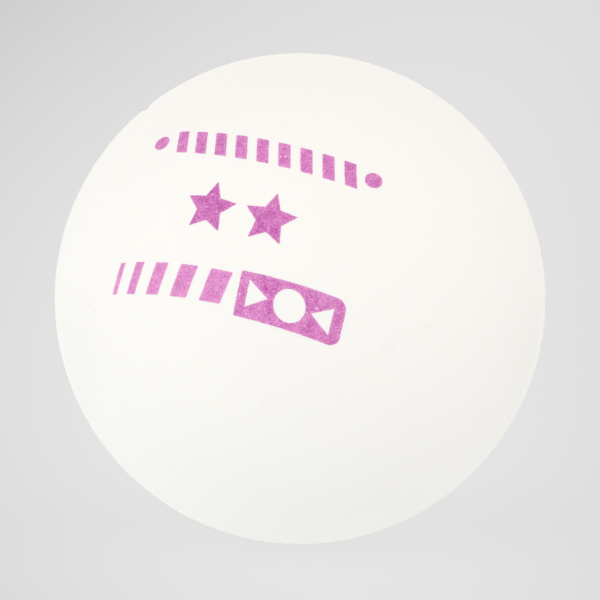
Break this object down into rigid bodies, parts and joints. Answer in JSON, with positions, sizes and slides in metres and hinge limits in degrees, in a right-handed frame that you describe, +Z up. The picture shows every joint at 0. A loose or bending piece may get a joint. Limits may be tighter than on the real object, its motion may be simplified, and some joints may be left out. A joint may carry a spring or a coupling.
{
  "type": "table tennis ball",
  "caption": "Hollow white plastic ball, moulded as half shells that lap and are cemented round the middle, with a patch of pink printed marks.",
  "frame": {"origin": "centre of the ball", "axes": "+Y is the moulding axis: the seam is the circle at y = 0, the printed half is at -Y and the plain half at +Y; +Z is up as the ball rests with its print upright"},
  "size_m": [0.0402, 0.0402, 0.0402],
  "materials": {
    "shell": "warm white ABS with a fine matte surface, slightly translucent at its 0.5 mm wall",
    "cement": "slightly yellow clear solvent cement",
    "ink": "thin mottled pink-magenta pad-printing ink"
  },
  "bodies": {
    "root": {"front_half_shell": "shell", "rear_half_shell": "shell", "seam_cement": "cement", "print_dash_row": "ink", "print_end_dots": "ink", "print_star_left": "ink", "print_star_right": "ink", "print_bar_row": "ink", "print_badge": "ink"}
  },
  "joints": []
}
